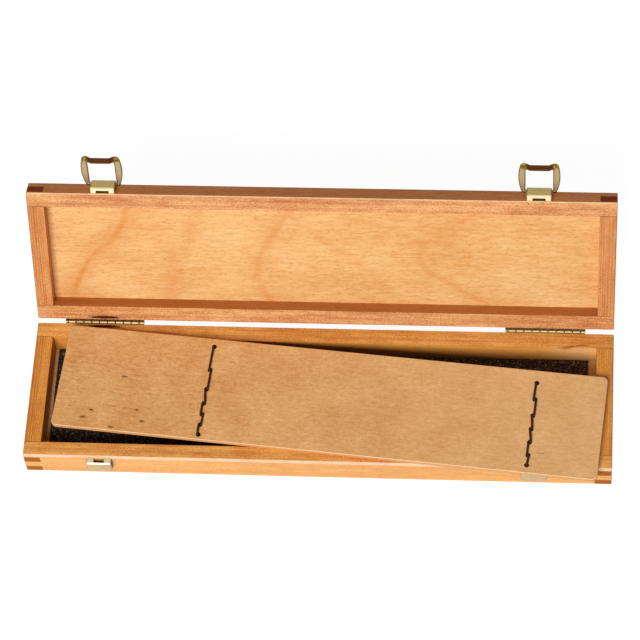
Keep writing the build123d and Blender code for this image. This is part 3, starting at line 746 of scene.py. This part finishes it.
# The bail's masks go by the reach from its rod and by the arm's outer line, a parabola.
rod_place, bail_along = (0.0, 0.098986, 0.106051), (0.0, 0.2079, 0.9782)
rod_reach = sum(part * share for part, share in zip(rod_place, bail_along))
arm_bow, arm_slope, arm_foot = -12.927, 0.32203, 0.0108
arm_inner = 0.0089
bar_start, bar_half = 0.0185, 0.0072
for side, middle in (("left", -0.1346), ("right", 0.1346)):
    made = brass_material("bail_brass_" + side, False, (0.62, 0.5, 0.28), (0.5, 0.38, 0.18))
    material, tree, surface, place, facing, colour = made
    colour = sideways_shade(tree, facing, colour, 0.55, 0.85, (0.1, 0.06, 0.02, 1.0))
    feeds = {0: place, 1: bail_along}
    reach = node(tree, "ShaderNodeVectorMath", feeds, operation="DOT_PRODUCT").outputs["Value"]
    reach = math_node(tree, "SUBTRACT", reach, rod_reach)
    # The bends into the bar are olive brown with painted gold glints.
    bend = ramp(tree, reach, bar_start, bar_start + 0.002)
    glint = ramp(tree, noise(tree, place, 700.0, 1.0), 0.5, 0.62)
    bend_with_glints = blend_colours(tree, glint, (0.2, 0.12, 0.012, 1.0), (0.6, 0.42, 0.09, 1.0))
    colour = blend_colours(tree, bend, colour, bend_with_glints)
    across = math_node(tree, "SUBTRACT", split(tree, place)["X"], middle)
    off_centre = math_node(tree, "ABSOLUTE", across)
    outline = math_node(tree, "MULTIPLY_ADD", reach, arm_bow, arm_slope)
    outline = math_node(tree, "MULTIPLY_ADD", outline, reach, arm_foot)
    margin = math_node(tree, "SUBTRACT", outline, off_centre)
    # The strap's edges along the arms take painted shade.
    outer_edge_shade = ramp(tree, margin, 0.0004, 0.0007, 1.0, 0.0)
    inner_edge_shade = ramp(tree, off_centre, arm_inner, arm_inner + 0.0003, 1.0, 0.0)
    rim = math_node(tree, "MAXIMUM", outer_edge_shade, inner_edge_shade)
    rim = math_node(tree, "MULTIPLY", rim, math_node(tree, "SUBTRACT", 0.85, bend, clamp=True))
    colour = blend_colours(tree, rim, colour, (0.12, 0.065, 0.018, 1.0))
    # The bar is painted dark brown as a painted dark reflection.
    bar_reflection = ramp(tree, off_centre, bar_half, bar_half + 0.0018, 1.0, 0.0)
    bar_reflection = math_node(tree, "MULTIPLY", bend, bar_reflection)
    colour = blend_colours(tree, bar_reflection, colour, (0.11, 0.032, 0.004, 1.0))
    # Near the pivot rod the bail is painted dark as shade.
    pivot_shade = ramp(tree, reach, -0.0005, 0.0012, 1.0, 0.0)
    colour = blend_colours(tree, pivot_shade, colour, (0.14, 0.08, 0.025, 1.0))
    tree.links.new(colour, surface.inputs["Base Color"])
    finish_nodes(material, "bail_" + side)


# Brush board: a loose plywood sheet with rounded corners that lies askew on the rims. Its
# plies show as thin lines round the edge, and a few small dark knots lie in its face.
board_middle = (0.0064, -0.0059, 0.0202)
board_turn = math.radians(-4.97)
board_thick = 0.0032
ply_waves = 2.5
hole_rows = {"left": -0.0773, "right": 0.127}
hole_half, hole_soft = 0.0019, 0.0002
board_edge_line, board_edge_soft = 0.0345, 0.0005
# Each knot has its place along and across the board, and its size.
board_knots = [
    (-0.1302, 0.0027, 0.0019),
    (-0.1469, -0.0228, 0.0016),
    (-0.1511, -0.0283, 0.0022),
    (-0.1140, -0.0273, 0.0020),
    (-0.1328, -0.0334, 0.0019),
    (-0.1185, -0.0196, 0.0014),
    (0.1333, -0.0214, 0.0010),
    (0.1359, -0.0213, 0.0009),
]
board_veneer = {
    "pale": (0.92, 0.53, 0.22), "deep": (0.68, 0.29, 0.08), "dash": (0.4, 0.13, 0.03),
    "mottle": 0.42, "dashes": 0.5,
}
material, tree, surface = start_material("board_veneer")
place, facing = box_frame(tree)
feeds = {"Vector": place, "Location": tuple(-v for v in board_middle)}
centred = node(tree, "ShaderNodeMapping", feeds).outputs[0]
feeds = {"Vector": centred, "Rotation": (0.0, 0.0, -board_turn)}
place = node(tree, "ShaderNodeMapping", feeds).outputs[0]
short_fibres = scaled(tree, place, (2.0, 1.0, 1.0))
colour = veneer_material(short_fibres, tree, surface, board_veneer)
for knot_x, knot_y, knot_size in board_knots:
    centre = (knot_x, knot_y, board_thick)
    half = (knot_size * 1.2, knot_size * 0.55, 0.01)
    feeds = {"Place": place, "Centre": centre, "Turn": 0.0, "Size": half}
    share = math_node(tree, "MULTIPLY", use_group(tree, spot, feeds)["Share"], 0.95)
    colour = blend_colours(tree, share, colour, (0.2, 0.07, 0.012, 1.0))
parts = split(tree, place)
# The board is painted paler towards its right, as painted light.
board_painted_light = math_node(tree, "MULTIPLY", ramp(tree, parts["X"], -0.1, 0.16), 0.35)
colour = blend_colours(tree, board_painted_light, colour, (0.97, 0.62, 0.31, 1.0))
upright = math_node(tree, "ABSOLUTE", split(tree, facing)["Z"])
edge = ramp(tree, upright, 0.3, 0.6, 1.0, 0.0)
plies = math_node(tree, "MULTIPLY", parts["Z"], 2 * math.pi * ply_waves / board_thick)
plies = math_node(tree, "SINE", plies)
pale_ply, dark_ply = (0.8, 0.46, 0.2, 1.0), (0.42, 0.16, 0.05, 1.0)
ply_colour = blend_colours(tree, ramp(tree, plies, -0.3, 0.3), pale_ply, dark_ply)
colour = blend_colours(tree, edge, colour, ply_colour)
# The bevel round the board's face takes a painted highlight.
arris_highlight = within(tree, upright, 0.7, 0.1, 0.1)
colour = blend_colours(tree, arris_highlight, colour, (0.9, 0.6, 0.32, 1.0))
off_middle = math_node(tree, "ABSOLUTE", parts["Y"])
inboard = within(tree, off_middle, 0.0, board_edge_line, board_edge_soft)
# The walls of the holes are painted dark as shade.
for row in hole_rows.values():
    hole_shade = math_node(tree, "MULTIPLY", edge, within(tree, parts["X"], row, hole_half, hole_soft))
    hole_shade = math_node(tree, "MULTIPLY", hole_shade, inboard)
    colour = blend_colours(tree, hole_shade, colour, (0.06, 0.02, 0.006, 1.0))
tree.links.new(colour, surface.inputs["Base Color"])
finish_nodes(material, "brush_board")


# Elastics: dark braided cord sewn forth and back through each row of holes. The outgoing and
# the returning pass lie side by side in a hole, and both ends share a knot under the board.
def cord_path(knot, out_holes, home_holes, top, low, bend, step=0.0003):
    """Threaded route: straight runs over and under the board, each corner a quarter circle."""
    points = [np.array([out_holes[0][0], knot, low])]
    for number, (x, y) in enumerate(out_holes + home_holes):
        near, far = (low, top) if number % 2 == 0 else (top, low)
        points += [np.array([x, y, near]), np.array([x, y, far])]
    points.append(np.array([home_holes[-1][0], knot, low]))
    route = [points[0]]
    for before, corner, after in zip(points, points[1:], points[2:]):
        back = (before - corner) / np.linalg.norm(before - corner)
        ahead = (after - corner) / np.linalg.norm(after - corner)
        for angle in np.linspace(0.0, math.pi / 2, 7):
            inward = (1 - math.sin(angle)) * back + (1 - math.cos(angle)) * ahead
            route.append(corner + bend * inward)
    route.append(points[-1])
    fine = [route[0]]
    for start, stop in zip(route, route[1:]):
        steps = max(1, int(np.linalg.norm(stop - start) / step))
        fine += [start + (stop - start) * k / steps for k in range(1, steps + 1)]
    return np.array(fine)


def cord_tube(route, radius, around, strands, twist, relief=0.05):
    """Closed tube: a circle swept with a carried frame, ridged by two crossing spirals."""
    ahead = np.gradient(route, axis=0)
    ahead /= np.linalg.norm(ahead, axis=1)[:, None]
    walked = np.concatenate([[0.0], np.cumsum(np.linalg.norm(np.diff(route, axis=0), axis=1))])
    side = np.cross(ahead[0], (1.0, 0.0, 0.0))
    side /= np.linalg.norm(side)
    angles = np.linspace(0.0, 2 * math.pi, around, endpoint=False)
    rings = []
    for centre, direction, distance in zip(route, ahead, walked):
        side = side - direction * np.dot(side, direction)
        side /= np.linalg.norm(side)
        other = np.cross(direction, side)
        wound, turned = strands * angles, twist * distance
        swell = radius * (1 + relief * np.cos(wound + turned) * np.cos(wound - turned))
        sideways = np.outer(swell * np.cos(angles), side)
        rings.append(centre + sideways + np.outer(swell * np.sin(angles), other))
    count = len(rings)
    points = np.concatenate(rings + [route[:1], route[-1:]])
    ring = np.arange(around)
    following = np.roll(ring, -1)
    faces = []
    for k in range(count - 1):
        a, b = k * around, (k + 1) * around
        faces += np.stack([a + ring, a + following, b + following, b + ring], -1).tolist()
    faces += [[count * around, int(b), int(a)] for a, b in zip(ring, following)]
    last = (count - 1) * around
    faces += [[count * around + 1, last + int(a), last + int(b)] for a, b in zip(ring, following)]
    return points, faces


def knot_ball(centre, radius, around, levels):
    """Closed lump: a sphere whose radius swells three times round it, as a turned cord does."""
    points = [centre + np.array([0.0, 0.0, -radius])]
    for level in range(1, levels):
        tilt = math.pi * level / levels
        for angle in np.linspace(0.0, 2 * math.pi, around, endpoint=False):
            swell = radius * (1 - 0.06 * math.sin(3 * angle + 2 * tilt) ** 2)
            flat = swell * math.sin(tilt)
            low = -swell * math.cos(tilt)
            step = np.array([flat * math.cos(angle), flat * math.sin(angle), low])
            points.append(centre + step)
    points.append(centre + np.array([0.0, 0.0, radius]))
    faces = []
    for k in range(around):
        n = (k + 1) % around
        faces.append([0, 1 + n, 1 + k])
        for level in range(levels - 2):
            a, b = 1 + level * around, 1 + (level + 1) * around
            faces.append([a + k, a + n, b + n, b + k])
        last = 1 + (levels - 2) * around
        faces.append([last + around, last + k, last + n])
    return np.array(points), faces


cord_material, tree, surface = start_material("braided_elastic")
place = node(tree, "ShaderNodeTexCoord").outputs["Object"]
fuzz = noise(tree, place, 4200.0, 2.0)
share = ramp(tree, fuzz, 0.35, 0.7)
colour = blend_colours(tree, share, (0.026, 0.008, 0.003, 1.0), (0.09, 0.032, 0.014, 1.0))
tree.links.new(colour, surface.inputs["Base Color"])
surface.inputs["Roughness"].default_value = 0.9
surface.inputs["Specular IOR Level"].default_value = 0.15
bump(tree, surface, fuzz, 0.4, 0.0002)
cord_radius = 0.00072
cord_top, cord_low, cord_bend = 0.00395, 0.00085, 0.0009
knot_beyond, knot_height, knot_radius = 0.0045, 0.0012, 0.0012
cosine, sine = math.cos(board_turn), math.sin(board_turn)
onto_board = np.array([[cosine, -sine, 0.0], [sine, cosine, 0.0], [0.0, 0.0, 1.0]])
# Each row has its first hole, its pitches, and each pass's shift in its hole in millimetres.
elastic_rows = {
    "left": {
        "first": 0.0300,
        "pitches": (0.0166, 0.0139, 0.0100, 0.0077, 0.0074, 0.0069),
        "out": (-0.35, -0.55, -0.75, 0.75, 0.75, 0.75, -0.5),
        "home": (0.75, 0.75, -0.8, -0.75, -0.8),
    },
    "right": {
        "first": 0.0269,
        "pitches": (0.0116, 0.0115, 0.0093, 0.0092, 0.0090, 0.0068),
        "out": (-0.45, -0.75, -0.6, 0.6, -0.6, -0.65, 0.1),
        "home": (0.75, 0.75, -0.75, 0.8, 0.65),
    },
}
for side, row in elastic_rows.items():
    middle = hole_rows[side]
    holes = row["first"] - np.concatenate([[0.0], np.cumsum(row["pitches"])])
    out = [(middle + 0.001 * shift, y) for shift, y in zip(row["out"], holes)]
    home = [(middle + 0.001 * shift, y) for shift, y in zip(row["home"], holes[1:-1])][::-1]
    knot_place = row["first"] + knot_beyond
    route = cord_path(knot_place, out, home, cord_top, cord_low, cord_bend)
    tube, tube_faces = cord_tube(route, cord_radius, 12, 4, 4200.0)
    knot_centre = np.array([middle, knot_place, knot_height])
    ball, ball_faces = knot_ball(knot_centre, knot_radius, 16, 10)
    points = np.concatenate([tube, ball]) @ onto_board.T + np.array(board_middle)
    faces = tube_faces + [[index + len(tube) for index in face] for face in ball_faces]
    elastic = mesh_piece("cord_" + side, points, np.array(faces, dtype=object), cord_material)
    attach(elastic, "loose_board")
    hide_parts("elastic_" + side)
